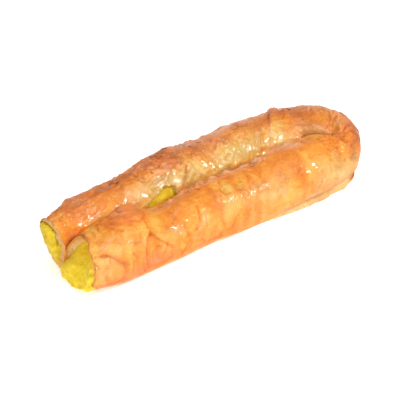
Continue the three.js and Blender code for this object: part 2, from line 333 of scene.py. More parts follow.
# how high the crumples stand, how they grow behind and calm down in front, and how deep they sit in the skin
crumple = dict(across=0.46, crinkle=0.4, lengthwise=0.36, behind=0.65, calm=0.45, calmLength=0.16, calmBubbles=0.5,
               sink=0.3, crestSink=1.6, lip=0.6, lipWave=0.75, lipPitch=10.5)
# single dents and swellings: along, reach, degrees, reach round, rise
dents = [
    (60, 14, 118, 0.3, -2.0),  # the front crest beside the torn place
    (193, 12, -28, 0.42, -4.0), (190, 9, 30, 0.5, 1.4),  # the fold, tucked in near the floor
    (383, 6, 70, 0.6, -1.5),
]


def skinRelief(along, angle):
    fromFloor = smooth(-1.1, -0.4, np.sin(angle))
    broad = domes(along, angle, scatterBlisters())
    total = broad + foldsAndLap(along, angle)
    # wrinkles across the rope, finer crinkles over them, and small bubbles
    warp = 5 * ripple(along, angle, 16, 12, 1)
    patchy = 0.5 + 0.5 * ripple(along, angle, 22, 16, 3)
    wavy = angle + 0.2 * ripple(along, angle, 12, 12, 6)
    across, lengthwise, crinkle = [1 - 2 * np.abs(ripple(*place)) for place in (
        (along + warp, angle, 8.5, 21, 2), (along, wavy, 17, 5.5, 16), (along + 0.5 * warp, angle, 3.4, 4.2, 4))]
    behind = smooth(foldEnd - 20, foldEnd + 10, along)
    across = across * (1 - 0.85 * roundHook(along, angle))
    calm = (1 - smooth(foldStart, foldStart + 20, along)) * (1 - smooth(math.radians(85), math.radians(110), angle))
    busy = 1 + crumple["behind"] * behind - crumple["calm"] * calm
    folds = crumple["across"] * across * (0.4 + patchy) + crumple["crinkle"] * crinkle * (0.35 + patchy)
    lengthwise = (crumple["lengthwise"] - crumple["calmLength"] * calm) * lengthwise * (1.1 - patchy)
    total = total + busy * folds + lengthwise
    draw = randomFrom(skin["bubbleSeed"])
    small = [(next(draw) * ropeLength, -0.3 + 3.1 * next(draw), 1.2 + 2.2 * next(draw), 0.1 + 0.45 * next(draw))
             for _ in range(skin["bubbles"])]
    # oily bubbles that catch the light on the back strand's inner flank
    small += [(225 + 165 * next(draw), math.radians(116 + 34 * next(draw)), 0.9 + 0.9 * next(draw), 0.2 + 0.3 * next(draw))
              for _ in range(skin["shiny"])]
    bubbly = domes(along, angle, small)
    total = total + (1 - crumple["calmBubbles"] * calm) * bubbly
    # the crumples stand in the solid's skin rather than on it
    total = total - crumple["sink"] - crumple["crestSink"] * behind * roundAt(angle, 85, 0.75)
    for at, reach, degrees, reachRound, rise in dents:
        total = total + rise * bell((along - at) / reach) * roundAt(angle, degrees, reachRound)
    # the wavy lip along the front crest
    lip = roundAt(angle, 121, 0.09) * between(along, 20, 40, 160, 172)
    wave = np.sin(along * 2 * math.pi / crumple["lipPitch"] + 2 * ripple(along, angle, 14, 99, 7))
    total = total + lip * (crumple["lip"] + crumple["lipWave"] * wave)
    for path, deep, wide in creases:
        near, dist, _ = fromPath(along, angle, path, 6)
        total[near] += -deep * bell(dist / wide) + 0.45 * deep * bell((dist - 2 * wide) / wide)
    for path, rise, fade, way in sheetEdges:
        near, dist, side = fromPath(along, angle, path, 2.5 * fade)
        signed = dist * side * way
        total[near] += rise * smooth(-0.35, 0.35, signed) * bell(np.maximum(signed, 0) / fade) * (dist < 60)
    return fromFloor * total, broad + bubbly, across, crinkle


def getPoints(piece):
    co = np.empty(len(piece.data.vertices) * 3)
    piece.data.vertices.foreach_get("co", co)
    return co.reshape(-1, 3)


# a sheet of dough rolled into the rope: a grid whose rows become rings
def addGrid(name, rows, columns):
    bpy.ops.object.select_all(action="DESELECT")
    bpy.ops.mesh.primitive_grid_add(x_subdivisions=rows, y_subdivisions=columns, size=1)
    piece = bpy.context.object
    piece.name = piece.data.name = name
    co = getPoints(piece)
    row = np.round((co[:, 0] + 0.5) * rows).astype(int)
    column = np.round((co[:, 1] + 0.5) * columns).astype(int)
    return piece, row, column


def setPoints(piece, points):
    piece.data.vertices.foreach_set("co", (np.asarray(points) * mm).ravel())
    piece.data.update()


def pick(*pieces):
    bpy.ops.object.select_all(action="DESELECT")
    for piece in pieces:
        piece.select_set(True)
    bpy.context.view_layer.objects.active = pieces[0]


# turns the faces outward, and joins doubled points where a distance is given
def closeUp(piece, distance=1e-6):
    pick(piece)
    bpy.ops.object.mode_set(mode="EDIT")
    bpy.ops.mesh.select_all(action="SELECT")
    if distance:
        bpy.ops.mesh.remove_doubles(threshold=distance)
    bpy.ops.mesh.normals_make_consistent(inside=False)
    bpy.ops.object.mode_set(mode="OBJECT")
    bpy.ops.object.shade_smooth()


toneNames = ("bake", "pale", "olive", "red", "rosy", "oil", "crease")


def paint(piece, tones):
    for name, values in tones.items():
        layer = piece.data.attributes.new(name, "FLOAT", "POINT")
        layer.data.foreach_set("value", np.clip(values, 0, 1).astype(np.float32))


# angles round the section, closer together on the side that shows
def sectionAngles(count):
    fine = np.linspace(-math.pi, math.pi, 2001)
    density = 0.45 + 0.55 * smooth(-0.75, -0.35, np.sin(fine))
    share = np.concatenate([[0], np.cumsum((density[1:] + density[:-1]) / 2)])
    return np.interp(np.linspace(0, 1, count + 1), share / share[-1], fine)


# browned, pale, olive, reddish, rosy and oily places: along, degrees, reach along, reach round, amount
# of the browned places, (203, 130), (220, 140) and (231, 152) darken the hollow where the groove ends: painted shade
bakedPatches = [
    (332, 66, 9, 6, 0.08), (325, 84, 9, 6, 0.06), (322, 106, 7, 6, 0.1), (340, 80, 8, 5, 0.03), (350, 83, 8, 5, 0.03),
    (356, 72, 8, 5, 0.06), (368, 88, 8, 5, 0.05), (361, 70, 1.2, 1.0, 0.5), (358.5, 82, 1.0, 0.8, 0.45),
    (240, 82, 10, 5, 0.08), (230, 104, 7, 5, 0.06), (300, 84, 8, 6, 0.02), (303, 108, 6, 5, 0.03), (286, 98, 7, 4, 0.05),
    (275, 100, 8, 4, 0.05), (262, 98, 7, 5, 0.05), (254, 90, 4, 6, 0.1), (390, 96, 8, 7, 0.04), (34, 88, 9, 4, 0.12),
    (26, 104, 8, 4, 0.1), (398, 168, 6, 5, 0.3), (88, 66, 4, 9, 0.12), (84, 40, 3, 8, 0.1), (104, 96, 4, 3, 0.1),
    (128, 84, 12, 4, 0.06), (152, 84, 10, 4, 0.06), (142, 40, 5, 4, 0.08), (56, 74, 9, 4, 0.06), (181, 95, 5, 5, 0.12),
    (192, 60, 8, 7, 0.14), (186, 45, 7, 5, 0.08), (38, 30, 3, 6, 0.1), (114, 70, 2, 6, 0.1), (328.5, 122, 6, 5, 0.2),
    (262, 130, 7, 6, 0.14), (260, 112, 6, 5, 0.12), (258, 146, 5, 5, 0.16), (303.5, 131, 7, 5, 0.14), (338, 135, 6, 4, 0.1),
    (190, 34, 7, 8, 0.1), (9, -36, 12, 6, 0.16), (22, -36, 10, 5, 0.1), (70, -38, 10, 4, 0.12), (188, 21, 7, 8, 0.1),
    (389, 125, 8, 8, 0.08), (143, 100, 5, 4, 0.12), (131, 52, 3, 4, 0.12), (48, 44, 6, 5, 0.1), (340, 134, 5, 4, 0.12),
    (303, 138, 6, 4, 0.12), (346, 102, 6, 5, -0.12), (15, 45, 6, 6, -0.13), (79, 49, 5, 5, 0.1), (236, 117, 6, 5, 0.1),
    (131, 87, 7, 5, -0.1), (272, 134, 7, 4, 0.1), (178, 127, 5, 4, 0.12), (380, 56, 7, 5, 0.1), (140, 102, 7, 4, -0.08),
    (137, 46, 5, 5, 0.1), (276, 96, 7, 5, -0.08), (2, 103, 3, 4, -0.1), (208, 85, 14, 9, -0.1), (175, 0, 9, 9, 0.16),
    (174, -32, 9, 5, 0.2), (36, -32, 8, 5, 0.1), (80, -40, 9, 5, 0.15), (12, -40, 12, 5, 0.15), (340, 136, 6, 5, 0.1),
    (329, 125, 6, 4, 0.08), (6, 101, 6, 6, -0.1), (12, 96, 6, 5, -0.06), (32, 119, 8, 4, 0.1), (220, 140, 9, 7, 0.16),
    (231, 152, 8, 7, 0.18), (203, 130, 6, 6, 0.1), (276, 134, 7, 4, 0.08), (244, 116, 7, 5, -0.12), (53, 42, 6, 5, 0.06),
    (112, 46, 9, 5, 0.08), (383, 62, 6, 5, 0.08),
]
# the small pale spots at (75, 31), (92, 34), (113, 40), (127, 30), (158, 20) and (168, 14) sit where the oil on the
# front flank shines: painted highlights
palePatches = [
    (6, 30, 8, 7, 0.26), (10, 6, 8, 6, 0.16), (56, 34, 8, 4, 0.26), (75, 31, 3, 3, 0.5), (46, 2, 5, 4, 0.12),
    (92, 34, 6, 8, 0.2), (113, 40, 5, 6, 0.26), (127, 30, 8, 7, 0.22), (158, 20, 8, 7, 0.24), (168, 14, 7, 6, 0.22),
    (136, 55, 10, 5, 0.14), (28, 30, 6, 5, 0.16), (20, 56, 7, 4, 0.12), (329.5, 149, 4, 5, 0.65), (354, 121, 6, 3, 0.35),
    (359, 128, 6, 3, 0.25), (316, 140, 6, 5, 0.3), (245, 142, 9, 5, 0.35), (234, 134, 7, 5, 0.28), (298, 140, 2, 6, 0.4),
    (290, 140, 7, 5, 0.25), (276, 30, 9, 9, 0.1), (212, 130, 12, 7, 0.1), (356, 131, 6, 4, 0.35), (125, -36, 10, 4, 0.4),
    (132, -32, 8, 4, 0.3), (187, 127, 6, 4, 0.12), (246, 145, 6, 4, 0.35), (104, 34, 5, 6, 0.25), (121, 14, 6, 6, 0.2),
    (115, 21, 5, 5, 0.12), (16, 40, 6, 5, 0.12), (176, 0, 8, 7, 0.25),
]
olivePatches = [
    (340, 134, 8, 4, 0.7), (280, 138, 12, 6, 0.5), (262, 128, 8, 7, 0.3), (320, 158, 10, 4, 0.4), (300, 156, 14, 4, 0.35),
    (345, 158, 12, 4, 0.35), (95, 32, 8, 7, 0.3), (127, 30, 9, 8, 0.3), (160, 16, 10, 7, 0.5), (172, 8, 8, 8, 0.4),
    (240, 150, 12, 4, 0.3), (290, 120, 10, 5, 0.25), (140, -10, 16, 6, 0.25), (178, 0, 10, 10, 0.55), (370, 140, 14, 4, 0.15),
]
# (203, 130) reddens the hollow where the groove ends: painted shade
redPatches = [
    (30, -18, 12, 7, 0.7), (44, -14, 9, 6, 0.7), (75, -12, 7, 6, 0.6), (20, -30, 12, 5, 0.5), (8, 12, 9, 8, 0.25),
    (34, 96, 10, 4, 0.55), (90, 108, 18, 3, 0.55), (60, 104, 20, 3.5, 0.5), (120, 112, 22, 2.5, 0.5),
    (150, 110, 16, 2.5, 0.4), (84, 30, 4, 8, 0.35), (105, -20, 10, 5, 0.4), (386, 108, 8, 8, 0.3), (380, 84, 8, 7, 0.3),
    (332, 60, 12, 6, 0.25), (200, 40, 9, 8, 0.2), (30, 92, 9, 6, 0.45), (190, 34, 7, 8, 0.3), (388, 122, 8, 8, 0.3),
    (398, 165, 6, 6, 0.4), (385, 117, 7, 6, 0.2), (328, 106, 8, 7, 0.35), (403, 110, 4, 6, 0.3), (203, 130, 7, 7, 0.3),
]
# the rosy places are painted sheen, the pale greyish pink of the crests seen at a grazing angle
rosyPatches = [
    (274, 67, 13, 5, 0.35), (289, 66, 10, 5, 0.3), (310, 63, 9, 5, 0.45), (198, 72, 9, 5, 0.4), (213, 76, 8, 4, 0.25),
    (391, 57, 8, 5, 0.35), (152, 103, 8, 4, 0.6), (147, 116, 8, 4, 0.7), (127, 119, 11, 4, 0.7), (111, 120, 11, 4, 0.7),
    (90, 117, 13, 4, 0.6), (62, 111, 14, 4, 0.6), (193, 105, 6, 4, 0.35), (317, 66, 6, 5, 0.4), (182, 118, 6, 4, 0.3),
    (32, 116, 10, 3, 0.2), (341, 70, 6, 4, 0.4), (220, 72, 10, 5, 0.3), (205, 76, 10, 5, 0.3), (295, 92, 8, 5, 0.3),
    (212, 76, 9, 5, 0.3), (202, 108, 7, 5, 0.25), (363, 59, 8, 5, 0.25),
]
oilyPatches = [
    (53, 51, 3, 2, 0.35), (54, 41, 3, 2, 0.4), (58, 40, 3, 2, 0.4), (46, 32, 3, 2, 0.4), (32, 30, 3, 2, 0.3),
    (24, 38, 3, 2, 0.4), (70, 24, 4, 4, 0.5), (75, 34, 4, 5, 0.6), (109, 37, 4, 6, 0.6), (120, 34, 4, 6, 0.7),
    (130, 24, 4, 5, 0.6), (92, 34, 4, 7, 0.4), (154, 46, 4, 4, 0.6), (154, 21, 4, 6, 0.6), (9, 52, 5, 3, 0.5),
    (170, 100, 8, 5, 0.3), (386, 130, 8, 9, 0.5), (358, 128, 9, 6, 0.5), (363, 135, 6, 5, 0.5), (247, 138, 8, 6, 0.5),
    (236, 136, 8, 5, 0.5), (226, 136, 7, 5, 0.5), (28, 104, 8, 4, 0.3), (372, 140, 10, 6, 0.3),
]


def patches(along, angle, rows):
    total = np.zeros(along.shape)
    for at, degrees, reachAlong, reachRound, amount in rows:
        u = (along - at) / reachAlong
        v = turnBetween(math.radians(degrees), angle) * halfWidth / reachRound
        total += amount * bell(np.hypot(u, v))
    return total


# painted shade: how far down a crease or under a sheet edge a place lies, and a peak along each for a thin dark line,
# from 0 to 1
def creaseShade(along, angle):
    shade, line = np.zeros(along.shape), np.zeros(along.shape)
    rows = [(path, deep, 0.9 * wide, 0) for path, deep, wide in creases]
    for path, height, soft, way in rows + [(path, rise, 0.8, way) for path, rise, _, way in sheetEdges]:
        near, dist, side = fromPath(along, angle, path, 4)
        off = np.abs(dist * side * way + 0.4) if way else dist
        strong = min(1, height)
        shade[near] = np.maximum(shade[near], strong * bell(off / soft))
        line[near] = np.maximum(line[near], 0.7 + 0.3 * strong - off / 3)
    return shade, line


# how much each kind of unevenness changes the browning; shade is painted shade down the creases and under sheet edges
uneven = dict(wide=0.08, bands=0.12, streaks=0.16, spots=0.03, high=0.03, across=0.02, crinkle=0.02, shade=0.15)


def skinTones(along, angle, high, across, crinkle):
    deg = np.degrees(angle)
    baked, pale, olive, red, rosy, oily = [patches(along, angle, rows) for rows in (
        bakedPatches, palePatches, olivePatches, redPatches, rosyPatches, oilyPatches)]

    def wave(*sizes):
        return ripple(along, angle, *sizes)
    back = smooth(foldStart + 0.45 * (foldEnd - foldStart), foldEnd, along)
    # the front strand is evenly golden, the back one brown on its crest and pale on its inner flank
    hooked = roundHook(along, angle)
    paleFlank = back * between(along, 236, 252, 340, 362)
    front = 0.475 + 0.09 * bell((deg - 100) / 22) + 0.04 * bell((deg + 25) / 22)
    # painted shade: the back strand darkens down into the groove, but not where the sheet rounds the fold
    behind = 0.505 + 0.13 * bell((deg - 75) / 30) + 0.2 * smooth(150, 175, deg) * (1 - hooked)
    bake = front * (1 - back) + behind * back - 0.22 * paleFlank * bell((deg - 140) / 24)
    shade, line = creaseShade(along, angle)
    causes = dict(wide=wave(17, 11, 8), bands=(1 - 0.5 * back) * (1 - hooked) * wave(4.5, 26, 48),
                  streaks=hooked * wave(30, 2.4, 49), spots=wave(4.6, 3.8, 9),
                  high=high, across=across, crinkle=crinkle, shade=shade)
    bake = bake + sum(uneven[name] * cause for name, cause in causes.items()) + baked
    pale = pale * (0.75 + 0.6 * wave(5, 4, 10))
    olive = (olive + 0.35 * paleFlank * bell((deg - 140) / 26)) * (0.8 + 0.5 * wave(7, 6, 12))
    # painted shade: creases and the low sides of sheet edges also turn redder
    red = red * (0.8 + 0.5 * wave(8, 6, 13)) + 0.35 * shade
    bake = np.where(np.sin(angle) < -0.55, 0.52, bake)
    # painted sheen: a pale rosy cast where the skin is seen at a grazing angle, on the far side of the back crest and
    # along the front one
    rosy = rosy + 0.4 * back * bell((deg - 60) / 17) * between(along, 190, 200, 312, 326)
    rosy = rosy * (0.85 + 0.5 * wave(6, 4, 43))
    line = line - 0.1 + 0.2 * wave(6, 6, 44)
    # oil lies on the back strand's inner flank and in a few places of the front one
    oil = 0.2 + 0.75 * paleFlank * bell((deg - 135) / 32) + 0.25 * back * bell((deg - 90) / 40)
    oil = oil + oily + 0.18 * wave(7, 6, 15)
    return [np.clip(tone, 0, 1) for tone in (bake, pale, olive, red, rosy, oil, line)]


# where the rim is trimmed back: degrees, reach round it and how far
rim = dict(front=((142, 0.45, 3.6), (-50, 0.6, 3.4)), back=((150, 0.85, 4.5),), reach=12)


def rimTrim(along, angle):
    total = np.zeros(along.shape)
    for end, way, fromEnd in (("front", 1, along), ("back", -1, ropeLength - along)):
        for degrees, reach, trim in rim[end]:
            total += way * trim * roundAt(angle, degrees, reach) * bell(fromEnd / rim["reach"])
    torn = 1.5 * ripple(0 * along, angle, 9, 7, 46) + 0.5 * ripple(0 * along, angle, 9, 3.5, 47)
    return total + torn * bell(along / 5) + 1.4 * torn * bell((ropeLength - along) / 5)


def rollPastry():
    outside = np.concatenate([np.linspace(low, high, round((high - low) / step), endpoint=last) for low, high, step, last in (
        (0, foldStart, skin["rows"], False), (foldStart, foldEnd, skin["foldRows"], False),
        (foldEnd, ropeLength, skin["rows"], True))])
    near = np.linspace(0, 24, 15)
    cavity = np.concatenate([near, np.linspace(24, ropeLength - 24, 46)[1:-1], ropeLength - near[::-1]])[::-1]
    count = len(outside)
    # each row: place along the rope, inset from the skin, and for the lip its layer and whether it is a groove between two
    rows = [(a, 0.0, None) for a in outside]
    thick = rope["crust"] / skin["layers"]
    lipRows = []
    for k in range(skin["layers"]):
        lipRows += [(k * thick + 0.08, k, 0), ((k + 0.78) * thick, k, 0), ((k + 0.9) * thick, k, 1)]
    thin, thinBack = [float(crustAt(a)) / rope["crust"] for a in (0.0, ropeLength)]
    rows += [(ropeLength, inset * thinBack, (k, groove)) for inset, k, groove in lipRows]
    rows += [(a, float(crustAt(a)), None) for a in cavity]
    rows += [(0.0, inset * thin, (k, groove)) for inset, k, groove in lipRows[::-1]]
    angles = sectionAngles(skin["columns"])
    piece, row, column = addGrid("pastryRope", len(rows), skin["columns"])
    table = np.array([r[:2] for r in rows + rows[:1]])
    along, inset, angle = table[row, 0], table[row, 1], angles[column]
    onSkin = (row < count) | (row == len(rows))
    found = np.zeros((4, len(row)))
    found[:, onSkin] = skinRelief(along[onSkin], angle[onSkin])
    relief, high, across, crinkle = found
    points = skinPoint(along + rimTrim(along, angle), angle, inset, relief)
    # painted shade: a thin dark line down the groove where it ends
    x, y, z = points.T.copy()
    grooveShade = (1 - np.abs(y) / 3) * between(x, foldX - 13, foldX - 8, foldX + 1, foldX + 5) * (z > 12)
    points[onSkin] = closeGroove(points[onSkin], angle[onSkin])
    # the lip's layers end unevenly
    for index, (place, _, layer) in enumerate(rows):
        if layer is None:
            continue
        here = row == index
        k, groove = layer
        ragged = 0.4 + 0.8 * ripple(np.full(here.sum(), 9.0 * k + place), angle[here], 5, 5, 14 + k)
        share = 1.3 if place > 1 else 0.55
        points[here, 0] -= share * (ragged + 0.25 * k - 0.5 * groove)
    setPoints(piece, points)
    tones = dict(zip(toneNames, skinTones(along, angle, high, across, crinkle)))
    tones["crease"] = np.maximum(tones["crease"], grooveShade)
    inside = ~onSkin
    streaks = ripple(along[inside], angle[inside], 9, 2.2, 18)
    within = dict(bake=0.32 + 0.25 * streaks, pale=0.6 - 0.35 * streaks, olive=0.0, red=0.3, rosy=0.0, oil=0.2, crease=0.0)
    for name, value in within.items():
        tones[name][inside] = value
    lip = inside & (np.isin(along, (0.0, ropeLength)))
    atFront = along < 1
    tones["bake"][lip] = np.where(atFront[lip], 0.5, 0.38)
    tones["pale"][lip] = np.where(atFront[lip], 0.1, 0.25)
    tones["red"][lip] = 0.45
    # the burnt edge of the mouth on its far side, and the burnt corner of the back end
    edge = bell(along / 1.5) * roundAt(angle, 118, 0.5) * (inset < 0.5)
    corner = bell((ropeLength - along) / 3.0) * roundAt(angle, 42, 0.4)
    tones["bake"] = tones["bake"] + 0.45 * edge + 0.55 * corner
    for name in ("pale", "rosy"):
        tones[name] = tones[name] * (1 - corner)
    paint(piece, tones)
    closeUp(piece)
    return piece


# the torn place: a lumpy cutter that opens the skin of the back strand
tear = dict(along=342.5, degrees=169, long=12.0, high=25, lean=0.6, square=0.75, deep=3.4, ragged=0.14)


def cutTear(piece):
    bpy.ops.object.select_all(action="DESELECT")
    bpy.ops.mesh.primitive_ico_sphere_add(subdivisions=5, radius=1)
    cutter = bpy.context.object
    co = getPoints(cutter)
    coarse, fine = [np.array([noise.noise(Vector((c[0], c[1], level)) * size) for c in co])
                    for level, size in ((0, 2.6), (1, 7))]
    ragged = 1 + tear["ragged"] * (coarse + 0.6 * fine)
    u, v = [np.sign(c) * np.abs(c) ** tear["square"] * ragged for c in (co[:, 0], co[:, 1])]
    along = tear["along"] + tear["long"] * u
    angle = np.radians(tear["degrees"] + tear["high"] * v + tear["lean"] * tear["long"] * u)
    co = skinPoint(along, angle, 0.8 + tear["deep"] * co[:, 2])
    co[:, 1] = np.maximum(co[:, 1], rope["boxMiddle"][1] + 0.01)  # the front strand stays whole
    setPoints(cutter, co)
    closeUp(cutter)
    pick(piece)
    cut = piece.modifiers.new("tear", "BOOLEAN")
    cut.operation, cut.solver, cut.object = "DIFFERENCE", "MANIFOLD", cutter
    bpy.ops.object.modifier_apply(modifier=cut.name)
    bpy.data.objects.remove(cutter)


# the potato: a lumpy rope inside the pastry that comes out at both ends
potato = dict(gap=0.4, columns=96, dome=34, out=dict(front=4.0, back=3.2), slump=dict(front=1.6, back=-0.3),
              round=dict(front=0.66, back=0.8), droop=dict(front=1.5, back=0.0), recessReach=36.0, lumps=1.2,
              swell=3.4, swellLumps=0.45, swellLong=13, swellHigh=9,
              recess=((126, 0.8, 24.0), (-64, 0.35, 6.0)))  # hollows behind the rim: degrees, reach, depth
lobes = [(-102, -5, 10, 5, 3.6), (-103, -14, 5, 5, 2.2), (-98, -24, 6, 4, 1.0), (-103, -9.5, 7.5, 2.6, -2.4),
         (-100, -20, 13, 5, 1.2)]  # x, y, z, reach, swell


def recessAt(angle):
    return sum(deep * roundAt(angle, degrees, reach) for degrees, reach, deep in potato["recess"])


def fillPotato():
    tearAt = tear["along"]
    stations = np.concatenate([np.linspace(0, 40, 44), np.linspace(40, tearAt - 20, 50)[1:],
                               np.linspace(tearAt - 20, tearAt + 20, 60)[1:], np.linspace(tearAt + 20, ropeLength, 40)[1:]])
    shares = np.linspace(0, 1, potato["dome"] + 1)[1:]
    rows = [("front", s) for s in shares[::-1]] + [("rope", a) for a in stations] + [("back", s) for s in shares]
    angles = np.linspace(-math.pi, math.pi, potato["columns"] + 1)
    piece, row, column = addGrid("potatoFilling", len(rows) - 1, potato["columns"])
    angle = angles[column]
    points = np.zeros((len(row), 3))

    def ringAt(at, turns, share):
        return skinPoint(at + share * recessAt(turns), turns, crustAt(at) + potato["gap"])
    mouth = dict(front=(0.0, 1), back=(ropeLength, 0))  # place, and how much of the hollow it has
    for index, (kind, value) in enumerate(rows):
        here = row == index
        a = angle[here]
        if kind == "rope":
            points[here] = ringAt(value, a, 1 - smooth(0, potato["recessReach"], value))
            continue
        centre = ringAt(mouth[kind][0], angles, mouth[kind][1]).mean(0)
        ring = ringAt(mouth[kind][0], a, mouth[kind][1])
        low = (centre[2] - ring[:, 2]) / rope["halfHeight"]
        drawnIn = math.sqrt(max(0.0, 1 - (potato["round"][kind] * value) ** 2))
        if value > 0.9:
            drawnIn *= max(0.0, (1 - value) / 0.1)
        p = ring + (centre - ring) * (1 - drawnIn)
        p[:, 0] -= min(1.0, value * 1.15) * potato["out"][kind] * (1 + potato["slump"][kind] * low * drawnIn)
        p[:, 2] -= value * potato["droop"][kind]
        points[here] = p
    setPoints(piece, points)
    closeUp(piece, distance=2e-5)
    # mashed lumps where the potato is free, and a swelling at the tear
    co = getPoints(piece) / mm
    normals = np.array([v.normal[:] for v in piece.data.vertices])
    ends = smooth(-86, -97, co[:, 0])
    x, y, z = (co - skinPoint(tearAt, math.radians(tear["degrees"]))).T
    near = bell(np.hypot(x / potato["swellLong"], np.hypot(y, z) / potato["swellHigh"])) * (co[:, 1] > 0)
    swell = potato["swell"] * near
    for x, y, z, reach, rise in lobes:
        swell = swell + rise * bell(np.linalg.norm(co - (x, y, z), axis=1) / reach)
    lumps = sum(share * np.array([noise.noise(Vector(c) / size) for c in co])
                for size, share in ((4.6, 1), (1.9, 0.6), (0.9, 0.4)))
    co = co + normals * (lumps * (potato["lumps"] * ends + potato["swellLumps"] * near) + swell)[:, None]
    co[:, 2] = np.maximum(co[:, 2], 0.4)
    co[:, 1] = np.where(near > 0, np.maximum(co[:, 1], 0.05), co[:, 1])
    setPoints(piece, co)
    # oily orange under the front rim; painted shade in dull olive on the back end, on the inner side of the front mouth
    # and in the tear
    front = smooth(2, -2, co[:, 1])
    stain = front * ends * smooth(15, 25, co[:, 2]) + 0.3 * ends * smooth(-93, -89, co[:, 0])
    potatoShade = (1 - front) * ends * (0.5 + 0.3 * lumps) + 0.5 * front * ends * bell((co[:, 1] + 4) / 4) + 0.4 * near
    paint(piece, dict(stain=stain, potatoShade=potatoShade))
    return piece


# the edge of the outer sheet, spread on the floor along the front strand and into the fold, in two ragged layers
baseSheet = dict(start=onFront(14), end=foldStart + 14, ramp=36, root=8.8, rootUp=6.5, steps=300, columns=14, thick=0.3,
                 reach=dict(start=8.5, strand=11.6, fold=9.4), cornerLong=9, cornerOut=4.4, cornerUp=4.5,
                 layers=((0.0, 0.3), (-0.9, 0.8)))  # each layer's length beside the other and its height


def spreadSheet():
    pieces = []
    start, end, root, reach = [baseSheet[name] for name in ("start", "end", "root", "reach")]
    for layer, (shorter, height) in enumerate(baseSheet["layers"]):
        piece, row, column = addGrid("baseSheet", baseSheet["steps"], baseSheet["columns"])
        along = start + (end - start) * row / baseSheet["steps"]
        across = column / baseSheet["columns"]
        grown = smooth(start, start + baseSheet["ramp"], along)
        narrowed = smooth(foldStart - 20, foldStart, along)
        tip = reach["start"] + (reach["strand"] - reach["start"]) * grown
        tip = tip + (reach["fold"] - tip) * narrowed + shorter
        still = np.zeros(len(along))
        tip = tip + 0.7 * ripple(along, still, 7, 99, 20 + layer) + 0.3 * ripple(along, still, 2.2, 99, 22 + layer)
        corner = smooth(end - baseSheet["cornerLong"], end, along)
        tip = tip + baseSheet["cornerOut"] * corner
        out = root + (tip - root) * across ** 1.4
        x, y, outX, outY = middleLine(along)
        up = height + baseSheet["rootUp"] * grown * (1 - across) ** 1.3
        up = up + 0.5 * across * (0.6 + ripple(along, across * 2, 9, 14, 24 + layer))
        up = up + 0.25 * ripple(along, across * 3, 3, 5, 26 + layer) + baseSheet["cornerUp"] * corner * across ** 2
        dx, dy = rope["boxMiddle"]
        setPoints(piece, np.stack([x + outX * out + dx, y + outY * out + dy, np.maximum(up, 0.15)], -1))
        bake = 0.4 + 0.12 * ripple(along, across, 12, 9, 27) + 0.4 * corner * smooth(0.2, 1, across)
        bake = bake + 0.3 * smooth(0.9, 1, across) * (0.5 + ripple(along, still, 5, 99, 28))
        pale = 0.3 + 0.3 * (1 - smooth(135, 155, along)) + 0.25 * ripple(along, across, 7, 7, 29)
        paint(piece, dict(bake=bake, pale=pale * (1 - corner), olive=0.25 * smooth(foldStart - 40, foldStart, along),
                          red=0.25 * (1 - smooth(110, 140, along)), rosy=0.3 + 0.2 * ripple(along, across, 5, 5, 45),
                          oil=0.3 + still, crease=still))
        pieces.append(piece)
    return thicken(pieces, baseSheet["thick"])


# joins sheets into one piece and gives them their thickness
def thicken(pieces, thick):
    pick(*pieces)
    bpy.ops.object.join()
    piece = bpy.context.object
    closeUp(piece, distance=None)
    wall = piece.modifiers.new("wall", "SOLIDIFY")
    wall.thickness, wall.offset = thick * mm, 0
    bpy.ops.object.modifier_apply(modifier=wall.name)
    bpy.ops.object.shade_smooth_by_angle(angle=math.radians(40))
    return piece


# loose flakes of the top sheet: where they lie (along, degrees), how many, size and change of tone
flakes = dict(seed=29, rows=9, columns=7, thick=0.08, places=[
    ((305, 350), (45, 112), 24, (4, 11), 0.03), ((20, 165), (96, 122), 20, (4, 10), 0.02),
    ((228, 305), (60, 105), 12, (4, 10), 0.0), ((355, 400), (50, 120), 10, (4, 9), 0.0),
    ((5, 60), (-15, 70), 10, (4, 11), -0.03), ((60, 178), (0, 70), 14, (4, 12), -0.04),
    ((180, 228), (20, 110), 10, (4, 10), 0.02),
])


def layFlakes():
    draw = randomFrom(flakes["seed"])
    pieces, spots = [], []
    for alongs, degrees, count, sizes, shift in flakes["places"]:
        for _ in range(count):
            at = drawBetween(draw, *alongs)
            turn = math.radians(drawBetween(draw, *degrees))
            size = drawBetween(draw, *sizes, 2)
            spots.append((at, turn, size, 0.35 + 0.4 * next(draw), 6.28 * next(draw), 0.08 + 0.35 * next(draw), shift))
    for index, (at, turn, size, slim, way, lift, shift) in enumerate(spots):
        piece, row, column = addGrid("flakes", flakes["rows"], flakes["columns"])
        p, q = 2 * row / flakes["rows"] - 1, 2 * column / flakes["columns"] - 1
        u, v = p * np.sqrt(1 - q * q / 2), q * np.sqrt(1 - p * p / 2)
        edge = np.maximum(np.abs(p), np.abs(q))
        turns = np.arctan2(v, u)
        outline = [noise.noise(Vector((math.cos(r) * 1.6, math.sin(r) * 1.6, 3.7 * index))) for r in turns]
        ragged = 1 + 0.4 * edge * np.array(outline)
        u, v = u * ragged * size / 2, v * ragged * size / 2 * slim
        along = np.clip(at + u * math.cos(way) - v * math.sin(way), 0.5, ropeLength - 0.5)
        angle = turn + (u * math.sin(way) + v * math.cos(way)) / halfWidth
        relief, high, across, crinkle = skinRelief(along, angle)
        raised = -0.12 + 0.2 * smooth(-1, -0.4, p) + lift * smooth(0, 1, p) + 0.1 * edge * ripple(along, angle, 2.5, 2.5, 31)
        points = skinPoint(along, angle, 0.0, relief + raised)
        setPoints(piece, closeGroove(points, angle))
        tones = dict(zip(toneNames, skinTones(along, angle, high, across, crinkle)))
        tones["bake"] = tones["bake"] + shift + 0.04 * smooth(0.6, 1, edge)
        paint(piece, tones)
        pieces.append(piece)
    return thicken(pieces, flakes["thick"])


# materials
def linear(code):
    rgb = [int(code[i:i + 2], 16) / 255 for i in (1, 3, 5)]
    return tuple(c / 12.92 if c <= 0.04045 else ((c + 0.055) / 1.055) ** 2.4 for c in rgb) + (1.0,)


